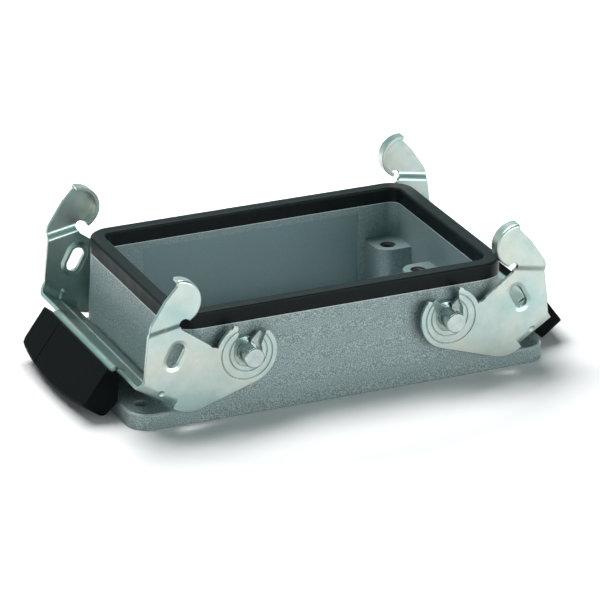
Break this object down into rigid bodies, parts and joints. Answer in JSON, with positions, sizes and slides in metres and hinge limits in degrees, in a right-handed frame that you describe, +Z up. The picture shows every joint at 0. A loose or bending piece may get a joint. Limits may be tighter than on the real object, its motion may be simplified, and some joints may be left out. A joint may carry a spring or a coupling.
{
  "type": "rectangular connector housing",
  "caption": "Empty bulkhead housing of a heavy duty rectangular connector: a cast frame with a rubber rim seal and sprung sheet-metal locking levers with plastic grips.",
  "frame": {"origin": "centre of the opening, in the mounting plane under the flange", "axes": "+X along the housing's length towards one lever, +Y across it, +Z up out of the opening towards the mating hood"},
  "size_m": [0.1916, 0.1126, 0.0573],
  "materials": {
    "cast_paint": "satin",
    "seal_rubber": "matte",
    "zinc_sheet": "satin",
    "clip_steel": "satin",
    "pin_steel": "satin",
    "grip_plastic": "matte"
  },
  "bodies": {
    "frame": {"housing": "cast_paint", "rim_seal": "seal_rubber", "base_gasket": "seal_rubber", "pin_front_left": "pin_steel", "pin_front_right": "pin_steel", "pin_rear_left": "pin_steel", "pin_rear_right": "pin_steel"},
    "lever_left": {"lever_left": "zinc_sheet", "grip_left": "grip_plastic", "clip_front_left": "clip_steel", "clip_rear_left": "clip_steel"},
    "lever_right": {"lever_right": "zinc_sheet", "grip_right": "grip_plastic", "clip_front_right": "clip_steel", "clip_rear_right": "clip_steel"}
  },
  "joints": [
    {"name": "left_lever_hinge", "type": "hinge", "parent": "frame", "child": "lever_left", "pos_m": [-0.0391, 0, 0.0254], "axis": [0, 1, 0], "range_deg": [0, 64]},
    {"name": "right_lever_hinge", "type": "hinge", "parent": "frame", "child": "lever_right", "pos_m": [0.0391, 0, 0.0254], "axis": [0, -1, 0], "range_deg": [0, 64]}
  ]
}
